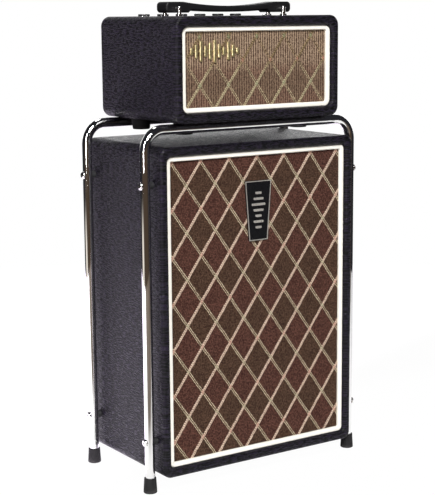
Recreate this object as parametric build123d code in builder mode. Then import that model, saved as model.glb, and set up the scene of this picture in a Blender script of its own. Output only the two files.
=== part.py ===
"""Miniature guitar amplifier: an amplifier head resting on a chrome stand that carries a 10 inch cabinet.

Millimetres. +Z is up, the grilles face -Y, X runs across, and the origin is on the floor under the middle.
"""
from build123d import *
import os
from math import cos, radians, sin

os.makedirs("parts", exist_ok=True)

# ---------------------------------------------------------------- driving dimensions
depth = 190.0            # front to rear of the cabinet and of the head
rim_radius = 4.5         # softened front and rear rims of both boxes

cab_width = 304.0
cab_height = 425.0
cab_bottom = 20.0        # floor to underside of the cabinet
cab_side_board = 11.0
cab_end_board = 12.0
cab_corner_radius = 11.0
cab_inner_radius = 7.0

head_width = 255.0
head_height = 132.2
head_side_board = 11.3
head_end_board = 12.9
head_corner_radius = 13.0
head_inner_radius = 9.0
head_lift = 0.3          # the flat underside stands just clear of the round tubes

tube_diameter = 12.7     # half-inch chrome tube
tube_wall = 1.2
bend_radius = 26.0       # to the tube's centre line
leg_x = 162.4            # leg centre lines, left and right of the middle
hoop_y = 74.5            # hoop planes, in front of and behind the middle
hoop_top = 472.0         # upper side of the cross tubes
leg_foot = 4.0           # end of the tube inside its rubber tip
hoop_screw_heights = (67.2, 397.5)

recess = 9.0             # front rim to the face of the grille cloth
cloth_thickness = 1.0
speaker_z = 232.5        # height of the speaker's axis
knob_pitch = 29.0
first_knob_x = -96.0
controls_y = 33.0        # row of controls, behind the handle
handle_y = -14.5

# ---------------------------------------------------------------- worked out from them
front = -depth / 2
rear = depth / 2
cab_top = cab_bottom + cab_height
cab_middle = cab_bottom + cab_height / 2
cab_inside_width = cab_width - 2 * cab_side_board
cab_inside_height = cab_height - 2 * cab_end_board
head_bottom = hoop_top + head_lift
head_top = head_bottom + head_height
head_middle = head_bottom + head_height / 2
head_inside_width = head_width - 2 * head_side_board
head_inside_height = head_height - 2 * head_end_board
tube_radius = tube_diameter / 2
hoop_axis_z = hoop_top - tube_radius
cloth_face = front + recess
baffle_face = cloth_face + cloth_thickness


def upright(y):
    """Vertical plane at depth y that faces the front: sketch x runs across, sketch y runs up."""
    return Plane(origin=(0, y, 0), x_dir=(1, 0, 0), z_dir=(0, -1, 0))


def save(piece, name):
    """Label a finished piece and write its STEP file."""
    piece.part.label = name
    export_step(piece.part, f"parts/{name}.step")


# ---------------------------------------------------------------- shared shapes
def carcass(width, height, bottom, side_board, end_board, outer_radius, inner_radius):
    """Glued board box, open at front and rear, with rounded corners and softened rims."""
    middle = bottom + height / 2
    with BuildPart() as box:
        with BuildSketch(upright(rear)):
            with Locations((0, middle)):
                RectangleRounded(width, height, outer_radius)
        extrude(amount=depth)
        fillet(box.faces().sort_by(Axis.Y)[0].edges(), rim_radius)
        fillet(box.faces().sort_by(Axis.Y)[-1].edges(), rim_radius)
        with BuildSketch(upright(rear)):
            with Locations((0, middle)):
                RectangleRounded(width - 2 * side_board, height - 2 * end_board, inner_radius)
        extrude(amount=depth, mode=Mode.SUBTRACT)
        fillet(box.faces().sort_by(Axis.Y)[0].inner_wires().edges(), rim_radius)
    return box.part


def slab(width, height, middle, back_y, thickness, radius):
    """Upright board or cloth with rounded corners whose rear face is at back_y."""
    with BuildPart() as board:
        with BuildSketch(upright(back_y)):
            with Locations((0, middle)):
                RectangleRounded(width, height, radius)
        extrude(amount=thickness)
    return board.part


def beading(width, height, middle, bead, thickness, outer_radius, inner_radius):
    """Pale plastic beading that lies on the cloth inside the rim of a box."""
    crown = 0.3 * bead
    with BuildPart() as ring:
        with BuildSketch(upright(cloth_face)):
            with Locations((0, middle)):
                RectangleRounded(width, height, outer_radius)
                RectangleRounded(width - 2 * bead, height - 2 * bead, inner_radius, mode=Mode.SUBTRACT)
        extrude(amount=thickness)
        fillet(ring.faces().sort_by(Axis.Y)[0].edges(), crown)
    return ring.part


def pan_screw(head_radius, head_height, shank_radius, shank_length):
    """Dome-headed cross-slot screw: head above z = 0, shank below it."""
    slot = 0.22 * head_radius
    with BuildPart() as screw:
        with BuildSketch(Plane.XY):
            Circle(head_radius)
        extrude(amount=head_height)
        fillet(screw.faces().sort_by(Axis.Z)[-1].edges(), 0.85 * head_height)
        with BuildSketch(Plane.XY):
            Circle(shank_radius)
        extrude(amount=-shank_length)
        with BuildSketch(Plane.XY.offset(head_height)):
            Rectangle(head_radius, slot)
            Rectangle(slot, head_radius)
        extrude(amount=-0.45 * head_height, mode=Mode.SUBTRACT)
    return screw.part


def phone_jack(bore_radius, bush_radius, proud, panel, body_width, body_depth):
    """Plug socket: its mouth is proud of the panel face at z = 0, its body hangs behind the panel."""
    end_wall = 2.0
    nut_height = 2.2
    with BuildPart() as jack:
        with BuildSketch(Plane.XY.offset(-panel)):
            RectangleRounded(body_width, body_width, 1.0)
        extrude(amount=-body_depth)
        with BuildSketch(Plane.XY.offset(-panel)):
            Circle(bush_radius)
        extrude(amount=panel + proud)
        with BuildSketch(Plane.XY.offset(proud)):
            Circle(bore_radius)
        extrude(amount=-(proud + panel + body_depth - end_wall), mode=Mode.SUBTRACT)
        with BuildSketch(Plane.XY):
            RegularPolygon(1.45 * bush_radius, 6)
            Circle(bush_radius + 0.05, mode=Mode.SUBTRACT)
        extrude(amount=nut_height)
    return jack.part


def grid_spots(xs, zs, y, direction):
    """Planes at every crossing of the given x and z values, facing the given direction."""
    return [Plane(origin=(x, y, z), z_dir=direction) for x in xs for z in zs]


# ================================================================ STAND
# Two chrome hoops, one near the front and one near the rear, screwed to the cabinet's sides.
hoop_screw_clearance = 3.1


def hoop(y):
    """Half-inch tube bent into an upside-down U, drilled for its four screws."""
    with BuildPart() as tube:
        with BuildLine():
            FilletPolyline(
                (-leg_x, y, leg_foot),
                (-leg_x, y, hoop_axis_z),
                (leg_x, y, hoop_axis_z),
                (leg_x, y, leg_foot),
                radius=bend_radius,
            )
        with BuildSketch(Plane(origin=(-leg_x, y, leg_foot), z_dir=(0, 0, 1))):
            Circle(tube_radius)
            Circle(tube_radius - tube_wall, mode=Mode.SUBTRACT)
        sweep()
        with Locations(*[(x, y, z) for x in (-leg_x, leg_x) for z in hoop_screw_heights]):
            Cylinder(hoop_screw_clearance, 2 * tube_diameter, rotation=(0, 90, 0), mode=Mode.SUBTRACT)
    return tube


front_hoop = hoop(-hoop_y)
save(front_hoop, "front_hoop")
rear_hoop = hoop(hoop_y)
save(rear_hoop, "rear_hoop")

# Tapered rubber tips closed at the floor and pushed over the four tube ends.
tip_height = 20.0
tip_foot_radius = 9.0
tip_mouth_radius = 7.9
tip_bore_radius = tube_radius + 0.05
leg_spots = [(x, y) for x in (-leg_x, leg_x) for y in (-hoop_y, hoop_y)]

with BuildPart() as stand_tips:
    with BuildSketch(Plane.XY):
        with Locations(*leg_spots):
            Circle(tip_foot_radius)
    extrude(amount=tip_height, taper=3.5)
    fillet(stand_tips.edges().group_by(Axis.Z)[0], 1.4)
    with BuildSketch(Plane.XY.offset(leg_foot)):
        with Locations(*leg_spots):
            Circle(tip_bore_radius)
    extrude(amount=tip_height, mode=Mode.SUBTRACT)
    fillet(stand_tips.edges().group_by(Axis.Z)[-1].sort_by(SortBy.RADIUS)[-4:], 0.5)
save(stand_tips, "stand_tips")

# Moulded saddle washers keep the tubes off the covering.
spacer_radius = 4.7
spacer_reach = 6.0       # outwards from the cabinet's side, past the tube's nearest point

with BuildPart() as hoop_spacers:
    for side in (-1, 1):
        for y in (-hoop_y, hoop_y):
            for z in hoop_screw_heights:
                side_plane = Plane(origin=(side * cab_width / 2, y, z), z_dir=(side, 0, 0))
                with BuildSketch(side_plane):
                    Circle(spacer_radius)
                extrude(amount=spacer_reach)
                with BuildSketch(side_plane):
                    Circle(hoop_screw_clearance)
                extrude(amount=spacer_reach, mode=Mode.SUBTRACT)
    with Locations(*[(x, y, cab_middle) for x, y in leg_spots]):
        Cylinder(tube_radius + 0.02, cab_height, mode=Mode.SUBTRACT)
save(hoop_spacers, "hoop_spacers")

# M6 dome-head screws through tube, spacer and side board into threaded inserts.
hoop_screw_head_radius = 4.9
hoop_screw_head_height = 2.6
hoop_screw_length = 27.4
hoop_screw = pan_screw(hoop_screw_head_radius, hoop_screw_head_height, 3.0, hoop_screw_length)

with BuildPart() as hoop_screws:
    for side in (-1, 1):
        head_seat = side * (leg_x + tube_radius)
        for y in (-hoop_y, hoop_y):
            with Locations(*grid_spots((head_seat,), hoop_screw_heights, y, (side, 0, 0))):
                add(hoop_screw)
save(hoop_screws, "hoop_screws")

insert_radius = 4.5
insert_length = 10.0

with BuildPart() as hoop_inserts:
    for side in (-1, 1):
        for y in (-hoop_y, hoop_y):
            for z in hoop_screw_heights:
                inner_wall = side * (cab_width / 2 - cab_side_board)
                with BuildSketch(Plane(origin=(inner_wall, y, z), z_dir=(side, 0, 0))):
                    Circle(insert_radius)
                    Circle(3.05, mode=Mode.SUBTRACT)
                extrude(amount=insert_length)
save(hoop_inserts, "hoop_inserts")

# ================================================================ CABINET
with BuildPart() as cabinet_shell:
    add(carcass(cab_width, cab_height, cab_bottom, cab_side_board, cab_end_board,
                cab_corner_radius, cab_inner_radius))
    with Locations(*[(0, y, z) for y in (-hoop_y, hoop_y) for z in hoop_screw_heights]):
        Cylinder(insert_radius + 0.1, 2 * cab_width, rotation=(0, 90, 0), mode=Mode.SUBTRACT)
save(cabinet_shell, "cabinet_shell")

# Baffle board with the speaker opening, the cloth stretched over it and the beading round it.
board_play = 1.0
baffle_thickness = 12.0
baffle_rear = baffle_face + baffle_thickness
speaker_opening_radius = 115.0
speaker_bolt_circle = 121.0
speaker_bolt_count = 8
speaker_bolt_radius = 2.0

with BuildPart() as cabinet_baffle:
    with BuildSketch(upright(baffle_rear)):
        with Locations((0, cab_middle)):
            RectangleRounded(cab_inside_width - board_play, cab_inside_height - board_play, cab_inner_radius)
        with Locations((0, speaker_z)):
            Circle(speaker_opening_radius, mode=Mode.SUBTRACT)
            with PolarLocations(speaker_bolt_circle, speaker_bolt_count):
                Circle(speaker_bolt_radius + 0.2, mode=Mode.SUBTRACT)
    extrude(amount=baffle_thickness)
save(cabinet_baffle, "cabinet_baffle")

with BuildPart() as cabinet_grille_cloth:
    add(slab(cab_inside_width - board_play, cab_inside_height - board_play, cab_middle,
             baffle_face, cloth_thickness, cab_inner_radius))
save(cabinet_grille_cloth, "cabinet_grille_cloth")

with BuildPart() as cabinet_piping:
    add(beading(cab_inside_width, cab_inside_height, cab_middle, 6.5, 4.0, cab_inner_radius, 1.5))
save(cabinet_piping, "cabinet_piping")

# Tapered name plaque without a name: a black plate with a bright rim and stacked bars.
plaque_top_z = 393.5
plaque_bottom_z = 315.0
plaque_top_width = 41.5
plaque_bottom_width = 29.5
plaque_thickness = 2.0
rim_inset = 0.3
rim_width = 1.0
rim_height = 0.6
bar_widths = (9.0, 15.0, 21.0, 15.0, 9.0, 15.0, 9.0)
bar_height = 3.0
bar_pitch = 7.5
plaque_face = cloth_face - plaque_thickness


def plaque_outline(inset):
    """Tapered plaque outline, moved inwards by inset."""
    half_top = plaque_top_width / 2 - inset
    half_bottom = plaque_bottom_width / 2 - inset
    top = plaque_top_z - inset
    bottom = plaque_bottom_z + inset
    return [(-half_bottom, bottom), (half_bottom, bottom), (half_top, top), (-half_top, top)]


with BuildPart() as cabinet_badge_plate:
    with BuildSketch(upright(cloth_face)):
        Polygon(*plaque_outline(0), align=None)
    extrude(amount=plaque_thickness)
    fillet(cabinet_badge_plate.edges().filter_by(Axis.Y), 1.0)
save(cabinet_badge_plate, "cabinet_badge_plate")

with BuildPart() as cabinet_badge_emblem:
    with BuildSketch(upright(plaque_face)):
        Polygon(*plaque_outline(rim_inset), align=None)
        Polygon(*plaque_outline(rim_inset + rim_width), align=None, mode=Mode.SUBTRACT)
    extrude(amount=rim_height)
    with BuildSketch(upright(plaque_face)):
        for row, width in enumerate(bar_widths):
            bar_z = plaque_top_z - 16.0 - row * bar_pitch
            with Locations((0, bar_z)):
                RectangleRounded(width, bar_height, 1.2)
    extrude(amount=2 * rim_height)
save(cabinet_badge_emblem, "cabinet_badge_emblem")

# Corner cleats that the baffle and the rear panel are screwed to.
batten = 12.0
back_panel_thickness = 9.0
back_panel_recess = 6.0
back_panel_face = rear - back_panel_recess
back_panel_inner = back_panel_face - back_panel_thickness


def cleats(inside_width, inside_height, middle, front_y, radius_room):
    """Four square sticks along the inside of a box, their front faces at front_y."""
    side_x = inside_width / 2 - batten / 2
    end_z = inside_height / 2 - batten / 2
    with BuildPart() as sticks:
        with BuildSketch(upright(front_y + batten)):
            with Locations((-side_x, middle), (side_x, middle)):
                Rectangle(batten, inside_height - 2 * batten - 2 * radius_room)
            with Locations((0, middle - end_z), (0, middle + end_z)):
                Rectangle(inside_width - 2 * radius_room, batten)
        extrude(amount=batten)
    return sticks.part


# Rear panel with a steel plate for the speaker socket.
jack_plate_width = 84.0
jack_plate_height = 62.0
jack_plate_z = 95.0
jack_plate_thickness = 1.5
jack_window_width = 60.0
jack_window_height = 40.0
jack_bush_radius = 4.7
panel_screw_inset = 6.0
side_screw_x = cab_inside_width / 2 - panel_screw_inset
end_screw_z = cab_inside_height / 2 - panel_screw_inset
back_screw_points = (
    [(x, cab_middle + z) for x in (-side_screw_x, side_screw_x) for z in (-120.0, 0.0, 120.0)]
    + [(x, cab_middle + z) for x in (-80.0, 80.0) for z in (-end_screw_z, end_screw_z)]
)
plate_screw_points = [(x, jack_plate_z + z) for x in (-36.0, 36.0) for z in (-25.0, 25.0)]
panel_screw_shank = 1.7
pilot_radius = panel_screw_shank + 0.02

with BuildPart() as cabinet_battens:
    add(cleats(cab_inside_width, cab_inside_height, cab_middle, baffle_rear, cab_inner_radius))
    add(cleats(cab_inside_width, cab_inside_height, cab_middle, back_panel_inner - batten, cab_inner_radius))
    with BuildSketch(upright(back_panel_inner)):
        with Locations(*back_screw_points):
            Circle(pilot_radius)
    extrude(amount=7.0, mode=Mode.SUBTRACT)
save(cabinet_battens, "cabinet_battens")

with BuildPart() as cabinet_back_panel:
    with BuildSketch(upright(back_panel_face)):
        with Locations((0, cab_middle)):
            RectangleRounded(cab_inside_width - board_play, cab_inside_height - board_play, cab_inner_radius)
        with Locations((0, jack_plate_z)):
            Rectangle(jack_window_width, jack_window_height, mode=Mode.SUBTRACT)
        with Locations(*back_screw_points, *plate_screw_points):
            Circle(panel_screw_shank + 0.2, mode=Mode.SUBTRACT)
    extrude(amount=back_panel_thickness)
save(cabinet_back_panel, "cabinet_back_panel")

with BuildPart() as cabinet_jack_plate:
    with BuildSketch(upright(back_panel_face + jack_plate_thickness)):
        with Locations((0, jack_plate_z)):
            RectangleRounded(jack_plate_width, jack_plate_height, 5.0)
            Circle(jack_bush_radius + 0.1, mode=Mode.SUBTRACT)
        with Locations(*plate_screw_points):
            Circle(panel_screw_shank + 0.2, mode=Mode.SUBTRACT)
    extrude(amount=jack_plate_thickness)
save(cabinet_jack_plate, "cabinet_jack_plate")

panel_screw = pan_screw(3.6, 2.2, panel_screw_shank, 15.0)
plate_screw = pan_screw(3.4, 2.0, panel_screw_shank, 9.0)

with BuildPart() as cabinet_back_screws:
    with Locations(*[Plane(origin=(x, back_panel_face, z), z_dir=(0, 1, 0)) for x, z in back_screw_points]):
        add(panel_screw)
    plate_outer = back_panel_face + jack_plate_thickness
    with Locations(*[Plane(origin=(x, plate_outer, z), z_dir=(0, 1, 0)) for x, z in plate_screw_points]):
        add(plate_screw)
save(cabinet_back_screws, "cabinet_back_screws")

jack_bore_radius = 3.2   # takes a 6.35 mm plug
jack_body = 16.0
jack_depth = 26.0

with BuildPart() as cabinet_jack:
    with Locations(Plane(origin=(0, plate_outer, jack_plate_z), z_dir=(0, 1, 0))):
        add(phone_jack(jack_bore_radius, jack_bush_radius, 3.0, jack_plate_thickness, jack_body, jack_depth))
save(cabinet_jack, "cabinet_jack")

# ================================================================ SPEAKER
# A 10 inch unit behind the baffle: every part is round about one axis that runs front to rear.
speaker_axis = Axis((0, 0, speaker_z), (0, 1, 0))
speaker_section = Plane(origin=(0, 0, speaker_z), x_dir=(1, 0, 0), z_dir=(0, 0, 1))
gasket_thickness = 1.5
flange_radius = 127.0
flange_inner_radius = 113.0
flange_front = baffle_rear + gasket_thickness
flange_rear = flange_front + 2.0
basket_wall = 2.0
basket_neck_radius = 64.0
basket_neck_front = -24.0
basket_seat = -10.0      # rear face of the basket, on the magnet's front plate
coil_radius = 19.5
pole_radius = 18.3
cone_rim_radius = 92.0
cone_wall = 0.9
surround_width = 16.0
cone_rim_y = flange_front + 1.0
cone_neck_y = -34.0


def turned(points):
    """Solid of revolution about the speaker's axis from (radius, depth) corners."""
    with BuildPart() as ring:
        with BuildSketch(speaker_section):
            with BuildLine():
                Polyline(*points, close=True)
            make_face()
        revolve(axis=speaker_axis)
    return ring.part


with BuildPart() as speaker_gasket:
    with BuildSketch(upright(flange_front)):
        with Locations((0, speaker_z)):
            Circle(flange_radius)
            Circle(flange_inner_radius, mode=Mode.SUBTRACT)
            with PolarLocations(speaker_bolt_circle, speaker_bolt_count):
                Circle(speaker_bolt_radius + 0.2, mode=Mode.SUBTRACT)
    extrude(amount=gasket_thickness)
save(speaker_gasket, "speaker_gasket")

window_inner_radius = 69.0
window_outer_radius = 107.0
window_half_angle = 21.0


def window_corners(angle):
    """Four corners of one opening between the basket's spokes."""
    corners = []
    for radius, side in ((window_inner_radius, -1), (window_outer_radius, -1),
                         (window_outer_radius, 1), (window_inner_radius, 1)):
        direction = radians(angle + side * window_half_angle)
        corners.append((radius * cos(direction), speaker_z + radius * sin(direction)))
    return corners


with BuildPart() as speaker_basket:
    add(turned([
        (flange_radius, flange_front),
        (flange_radius, flange_rear),
        (flange_inner_radius + basket_wall, flange_rear),
        (basket_neck_radius, basket_neck_front),
        (basket_neck_radius, basket_seat),
        (24.0, basket_seat),
        (24.0, basket_seat - basket_wall),
        (basket_neck_radius - basket_wall, basket_seat - basket_wall),
        (basket_neck_radius - basket_wall, basket_neck_front - 1.0),
        (flange_inner_radius, flange_front),
    ]))
    with BuildSketch(upright(basket_neck_front + 4.0)):
        for spoke in range(6):
            Polygon(*window_corners(60.0 * spoke), align=None)
    extrude(amount=50.0, mode=Mode.SUBTRACT)
    with Locations(Plane(origin=(0, flange_front, speaker_z), z_dir=(0, -1, 0))):
        with PolarLocations(speaker_bolt_circle, speaker_bolt_count):
            Cylinder(speaker_bolt_radius + 0.2, 10.0, mode=Mode.SUBTRACT)
save(speaker_basket, "speaker_basket")

with BuildPart() as speaker_cone:
    add(turned([
        (cone_rim_radius, cone_rim_y - cone_wall),
        (cone_rim_radius, cone_rim_y),
        (coil_radius, cone_neck_y),
        (coil_radius, cone_neck_y - cone_wall),
    ]))
save(speaker_cone, "speaker_cone")

surround_middle = cone_rim_radius + surround_width / 2
surround_wall = 1.0
with BuildPart() as speaker_surround:
    with BuildSketch(speaker_section):
        with BuildLine():
            outer_roll = ThreePointArc(
                (cone_rim_radius, cone_rim_y),
                (surround_middle, cone_rim_y - surround_width / 2),
                (cone_rim_radius + surround_width, cone_rim_y),
            )
            outer_land = Line(outer_roll @ 1, (cone_rim_radius + surround_width - surround_wall, cone_rim_y))
            inner_roll = ThreePointArc(
                outer_land @ 1,
                (surround_middle, cone_rim_y - surround_width / 2 + surround_wall),
                (cone_rim_radius + surround_wall, cone_rim_y),
            )
            Line(inner_roll @ 1, outer_roll @ 0)
        make_face()
    revolve(axis=speaker_axis)
save(speaker_surround, "speaker_surround")

dust_cap_radius = 27.0
dust_cap_rise = 9.0
dust_cap_wall = 0.8
dust_cap_sphere = (dust_cap_radius ** 2 + dust_cap_rise ** 2) / (2 * dust_cap_rise)
cone_slope = (cone_neck_y - cone_rim_y) / (cone_rim_radius - coil_radius)
dust_cap_y = cone_neck_y - cone_wall - (dust_cap_radius - coil_radius) * cone_slope - 0.1

with BuildPart() as speaker_dust_cap:
    with BuildSketch(speaker_section):
        with Locations((0, dust_cap_y - dust_cap_rise + dust_cap_sphere)):
            Circle(dust_cap_sphere)
            Circle(dust_cap_sphere - dust_cap_wall, mode=Mode.SUBTRACT)
        with Locations((dust_cap_radius / 2, dust_cap_y - dust_cap_rise / 2)):
            Rectangle(dust_cap_radius, dust_cap_rise, mode=Mode.INTERSECT)
    revolve(axis=speaker_axis)
save(speaker_dust_cap, "speaker_dust_cap")

with BuildPart() as speaker_voice_coil:
    add(turned([
        (coil_radius - 0.5, cone_neck_y),
        (coil_radius, cone_neck_y),
        (coil_radius, -16.0),
        (coil_radius + 0.7, -16.0),
        (coil_radius + 0.7, -5.0),
        (coil_radius - 0.5, -5.0),
    ]))
save(speaker_voice_coil, "speaker_voice_coil")

spider_y = -26.0
spider_roll = 5.0
spider_rolls = 8
spider_wave = 1.6
with BuildPart() as speaker_spider:
    wave = [(coil_radius + spider_roll * step, spider_y - spider_wave * (step % 2))
            for step in range(spider_rolls + 1)]
    add(turned(wave + [(radius, y + 0.7) for radius, y in reversed(wave)]))
save(speaker_spider, "speaker_spider")

front_plate_thickness = 5.0
magnet_thickness = 14.0
back_plate_thickness = 5.0
magnet_front = basket_seat + front_plate_thickness
magnet_rear = magnet_front + magnet_thickness
speaker_end = magnet_rear + back_plate_thickness

with BuildPart() as speaker_front_plate:
    add(turned([(21.0, basket_seat), (48.0, basket_seat), (48.0, magnet_front), (21.0, magnet_front)]))
save(speaker_front_plate, "speaker_front_plate")

with BuildPart() as speaker_magnet:
    add(turned([(26.0, magnet_front), (52.0, magnet_front), (52.0, magnet_rear), (26.0, magnet_rear)]))
save(speaker_magnet, "speaker_magnet")

with BuildPart() as speaker_back_plate:
    add(turned([
        (0, basket_seat),
        (pole_radius, basket_seat),
        (pole_radius, magnet_rear),
        (45.0, magnet_rear),
        (45.0, speaker_end),
        (0, speaker_end),
    ]))
    fillet(speaker_back_plate.faces().sort_by(Axis.Y)[-1].edges(), 1.5)
save(speaker_back_plate, "speaker_back_plate")

terminal_y = -18.0
terminal_top = speaker_z - basket_neck_radius
with BuildPart() as speaker_terminals:
    with BuildSketch(Plane.XY.offset(terminal_top)):
        with Locations((0, terminal_y)):
            Rectangle(24.0, 9.0)
    extrude(amount=-3.0)
    with BuildSketch(Plane.XY.offset(terminal_top - 3.0)):
        with Locations((-8.0, terminal_y), (8.0, terminal_y)):
            Rectangle(5.0, 1.0)
    extrude(amount=-8.0)
save(speaker_terminals, "speaker_terminals")

speaker_bolt = pan_screw(4.2, 2.8, speaker_bolt_radius, 13.0)
with BuildPart() as speaker_bolts:
    with Locations(Plane(origin=(0, flange_rear, speaker_z), z_dir=(0, 1, 0))):
        with PolarLocations(speaker_bolt_circle, speaker_bolt_count):
            add(speaker_bolt)
save(speaker_bolts, "speaker_bolts")

lead_radius = 1.9
lead_start = (0, plate_outer - jack_plate_thickness - jack_depth, jack_plate_z)
lead_end = (0, terminal_y, terminal_top - 3.0)
with BuildPart() as speaker_lead:
    with BuildLine():
        FilletPolyline(
            lead_start,
            (0, 30.0, jack_plate_z),
            (0, terminal_y, jack_plate_z + 20.0),
            lead_end,
            radius=18.0,
        )
    with BuildSketch(Plane(origin=lead_start, z_dir=(0, -1, 0))):
        Circle(lead_radius)
    sweep()
save(speaker_lead, "speaker_lead")

# ================================================================ HEAD
# Recess in the top board that the controls stand in.
well_width = 212.0
well_depth = 42.0
panel_top = head_top - head_end_board
panel_thickness = 1.5
panel_under = panel_top - panel_thickness
chassis_screw_points = [(x, controls_y + y) for x in (-98.0, 0.0, 98.0) for y in (-25.0, 25.0)]
foot_x = 91.0
foot_y = 53.0
foot_spots = [(x, y) for x in (-foot_x, foot_x) for y in (-foot_y, foot_y)]
foot_screw_radius = 2.0
foot_screw_grip = 9.0    # length of thread in the bottom board

with BuildPart() as head_shell:
    add(carcass(head_width, head_height, head_bottom, head_side_board, head_end_board,
                head_corner_radius, head_inner_radius))
    with BuildSketch(Plane.XY.offset(head_top)):
        with Locations((0, controls_y)):
            RectangleRounded(well_width, well_depth, 6.0)
    extrude(amount=-head_end_board, mode=Mode.SUBTRACT)
    with BuildSketch(Plane.XY.offset(panel_top)):
        with Locations(*chassis_screw_points):
            Circle(pilot_radius)
    extrude(amount=8.0, mode=Mode.SUBTRACT)
    with BuildSketch(Plane.XY.offset(head_bottom)):
        with Locations(*foot_spots):
            Circle(foot_screw_radius + 0.02)
    extrude(amount=foot_screw_grip, mode=Mode.SUBTRACT)
save(head_shell, "head_shell")

head_baffle_thickness = 9.0
head_baffle_rear = baffle_face + head_baffle_thickness
with BuildPart() as head_baffle:
    add(slab(head_inside_width - board_play, head_inside_height - board_play, head_middle,
             head_baffle_rear, head_baffle_thickness, head_inner_radius))
save(head_baffle, "head_baffle")

with BuildPart() as head_grille_cloth:
    add(slab(head_inside_width - board_play, head_inside_height - board_play, head_middle,
             baffle_face, cloth_thickness, head_inner_radius))
save(head_grille_cloth, "head_grille_cloth")

with BuildPart() as head_piping:
    add(beading(head_inside_width, head_inside_height, head_middle, 6.2, 4.0, head_inner_radius, 2.5))
save(head_piping, "head_piping")

# Cast badge with no lettering: upright bars of several heights on a thin rail.
badge_left = -102.0
badge_z = 561.0
badge_bar_heights = (9.0, 17.0, 25.0, 14.0, 21.0, 28.0, 18.0, 11.0, 23.0, 15.0, 8.0)
badge_bar_width = 4.0
badge_bar_pitch = 6.9
badge_thickness = 2.6
badge_length = badge_bar_pitch * (len(badge_bar_heights) - 1) + badge_bar_width

with BuildPart() as head_badge:
    with BuildSketch(upright(cloth_face)):
        for place, height in enumerate(badge_bar_heights):
            with Locations((badge_left + badge_bar_width / 2 + place * badge_bar_pitch, badge_z)):
                RectangleRounded(badge_bar_width, height, 1.6)
    extrude(amount=badge_thickness)
    chamfer(head_badge.faces().group_by(Axis.Y)[0].edges(), 0.6)
    with BuildSketch(upright(cloth_face)):
        with Locations((badge_left + badge_length / 2, badge_z)):
            Rectangle(badge_length, 2.4)
    extrude(amount=0.5 * badge_thickness)
save(head_badge, "head_badge")

# Feet that drop between the two hoops and keep the head in place.
foot_height = 16.0
foot_recess = 8.0

with BuildPart() as head_feet:
    with BuildSketch(Plane.XY.offset(head_bottom)):
        with Locations(*foot_spots):
            Circle(14.0)
    extrude(amount=-foot_height, taper=10)
    fillet(head_feet.edges().group_by(Axis.Z)[0], 1.2)
    with BuildSketch(Plane.XY.offset(head_bottom - foot_height)):
        with Locations(*foot_spots):
            Circle(5.0)
    extrude(amount=foot_recess, mode=Mode.SUBTRACT)
    with BuildSketch(Plane.XY.offset(head_bottom)):
        with Locations(*foot_spots):
            Circle(foot_screw_radius + 0.3)
    extrude(amount=-foot_height, mode=Mode.SUBTRACT)
save(head_feet, "head_feet")

foot_screw_seat = head_bottom - foot_height + foot_recess
foot_screw = pan_screw(4.2, 2.6, foot_screw_radius, foot_height - foot_recess + foot_screw_grip)
with BuildPart() as head_foot_screws:
    with Locations(*[Plane(origin=(x, y, foot_screw_seat), z_dir=(0, 0, -1)) for x, y in foot_spots]):
        add(foot_screw)
save(head_foot_screws, "head_foot_screws")

# Steel rear panel on its own cleats, with the sockets.
rear_panel_thickness = 2.0
rear_panel_face = rear - 8.0
rear_panel_inner = rear_panel_face - rear_panel_thickness
dc_inlet_x = -70.0
speaker_out_x = 55.0
phones_x = 15.0
rear_socket_z = head_bottom + 34.0
dc_mouth_radius = 4.0
phones_bush_radius = 3.2
rear_screw_points = [
    (x, head_middle + z)
    for x in (-104.0, 0.0, 104.0)
    for z in (-(head_inside_height / 2 - panel_screw_inset), head_inside_height / 2 - panel_screw_inset)
]

with BuildPart() as head_battens:
    add(cleats(head_inside_width, head_inside_height, head_middle, rear_panel_inner - batten,
               head_inner_radius))
    with BuildSketch(upright(rear_panel_inner)):
        with Locations(*rear_screw_points):
            Circle(pilot_radius)
    extrude(amount=11.0, mode=Mode.SUBTRACT)
save(head_battens, "head_battens")

with BuildPart() as head_rear_panel:
    with BuildSketch(upright(rear_panel_face)):
        with Locations((0, head_middle)):
            RectangleRounded(head_inside_width - board_play, head_inside_height - board_play,
                             head_inner_radius)
        with Locations(*rear_screw_points):
            Circle(panel_screw_shank + 0.2, mode=Mode.SUBTRACT)
        with Locations((dc_inlet_x, rear_socket_z)):
            Circle(dc_mouth_radius + 0.1, mode=Mode.SUBTRACT)
        with Locations((speaker_out_x, rear_socket_z)):
            Circle(jack_bush_radius + 0.1, mode=Mode.SUBTRACT)
        with Locations((phones_x, rear_socket_z)):
            Circle(phones_bush_radius + 0.1, mode=Mode.SUBTRACT)
    extrude(amount=rear_panel_thickness)
save(head_rear_panel, "head_rear_panel")

with BuildPart() as head_rear_screws:
    with Locations(*[Plane(origin=(x, rear_panel_face, z), z_dir=(0, 1, 0)) for x, z in rear_screw_points]):
        add(pan_screw(3.6, 2.2, panel_screw_shank, 12.0))
save(head_rear_screws, "head_rear_screws")


def rear_spot(x):
    """Plane on the outer face of the rear panel at a socket, facing the rear."""
    return Plane(origin=(x, rear_panel_face, rear_socket_z), z_dir=(0, 1, 0))


with BuildPart() as speaker_out_jack:
    with Locations(rear_spot(speaker_out_x)):
        add(phone_jack(jack_bore_radius, jack_bush_radius, 3.0, rear_panel_thickness, jack_body, jack_depth))
save(speaker_out_jack, "speaker_out_jack")

phones_bore_radius = 1.8
with BuildPart() as phones_jack:
    with Locations(rear_spot(phones_x)):
        add(phone_jack(phones_bore_radius, phones_bush_radius, 2.5, rear_panel_thickness, 9.0, 14.0))
save(phones_jack, "phones_jack")

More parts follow.
